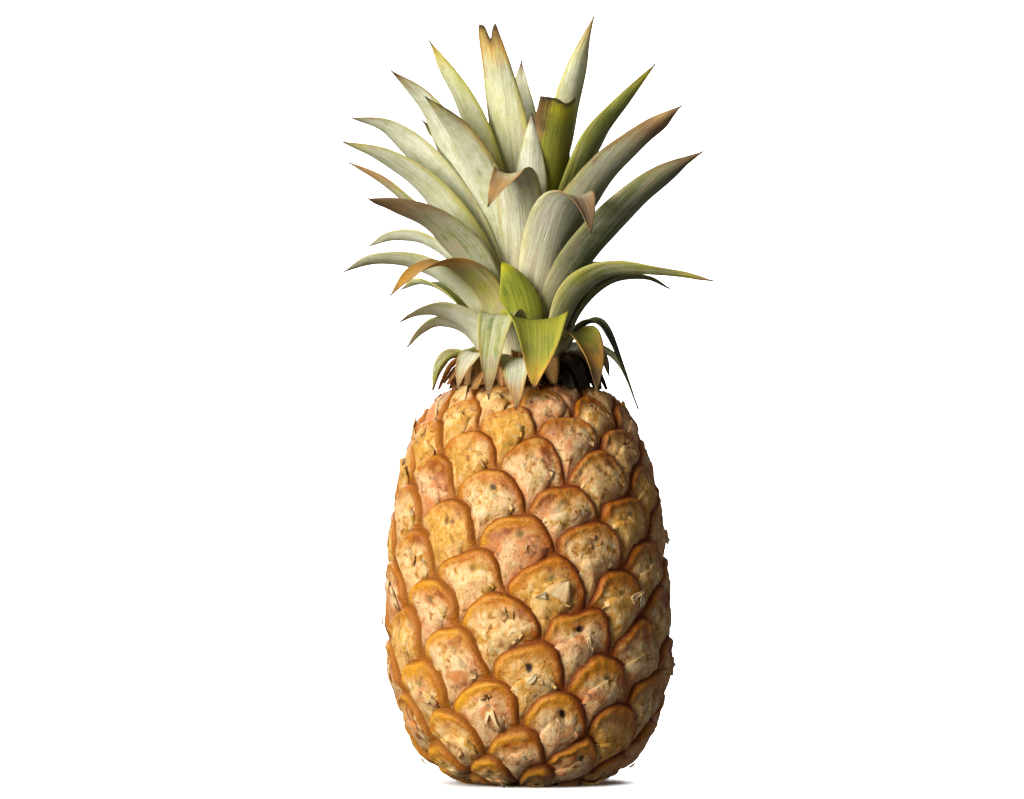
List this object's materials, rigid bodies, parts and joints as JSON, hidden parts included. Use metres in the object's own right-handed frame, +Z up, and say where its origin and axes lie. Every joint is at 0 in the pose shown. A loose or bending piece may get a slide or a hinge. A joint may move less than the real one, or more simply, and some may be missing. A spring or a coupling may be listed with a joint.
{
  "type": "pineapple",
  "caption": "Whole pineapple standing on its cut base: barrel-shaped fruit with spiral eyes and a leafy crown of stiff, channelled leaves.",
  "frame": {"origin": "centre of the flat cut base that the fruit stands on", "axes": "+Z up along the fruit, from the base to the crown; -Y towards the front, which shows the leaves with folded tips"},
  "size_m": [0.147, 0.1298, 0.307],
  "materials": {
    "fruit_skin": "satin",
    "crown_stem": "matte",
    "leaf": "satin"
  },
  "bodies": {
    "root": {"fruit": "fruit_skin", "crown_stem": "crown_stem", "heart_leaf_young": "leaf", "heart_leaf_back": "leaf", "heart_leaf_split": "leaf", "heart_leaf_cut_short": "leaf", "heart_leaf_tall": "leaf", "heart_leaf_left": "leaf", "heart_leaf_narrow": "leaf", "rear_heart_leaf_1": "leaf", "rear_heart_leaf_2": "leaf", "rear_heart_leaf_3": "leaf", "right_leaf_01": "leaf", "left_leaf_01": "leaf", "right_leaf_06": "leaf", "front_leaf_01": "leaf", "left_leaf_02": "leaf", "left_leaf_03": "leaf", "right_leaf_02": "leaf", "rear_upper_leaf_1": "leaf", "rear_upper_leaf_2": "leaf", "rear_upper_leaf_3": "leaf", "rear_upper_leaf_4": "leaf", "left_leaf_04": "leaf", "left_leaf_05": "leaf", "front_leaf_02": "leaf", "right_leaf_03": "leaf", "left_leaf_07": "leaf", "left_leaf_06": "leaf", "right_leaf_07": "leaf", "rear_middle_leaf_1": "leaf", "rear_middle_leaf_2": "leaf", "rear_middle_leaf_3": "leaf", "rear_middle_leaf_4": "leaf", "rear_middle_leaf_5": "leaf", "left_leaf_08": "leaf", "front_leaf_03": "leaf", "right_leaf_04": "leaf", "left_leaf_09": "leaf", "right_leaf_05": "leaf", "right_leaf_08": "leaf", "front_leaf_04": "leaf", "rear_lower_leaf_1": "leaf", "rear_lower_leaf_2": "leaf", "rear_lower_leaf_3": "leaf", "rear_lower_leaf_4": "leaf", "rear_lower_leaf_5": "leaf", "left_leaf_10": "leaf", "left_leaf_11": "leaf", "front_leaf_05": "leaf", "front_leaf_06": "leaf", "left_leaf_12": "leaf", "front_leaf_08": "leaf", "rear_collar_leaf_1": "leaf", "rear_collar_leaf_2": "leaf", "rear_collar_leaf_3": "leaf", "rear_collar_leaf_4": "leaf", "rear_collar_leaf_5": "leaf", "rear_collar_leaf_6": "leaf", "front_leaf_07": "leaf"}
  },
  "joints": []
}
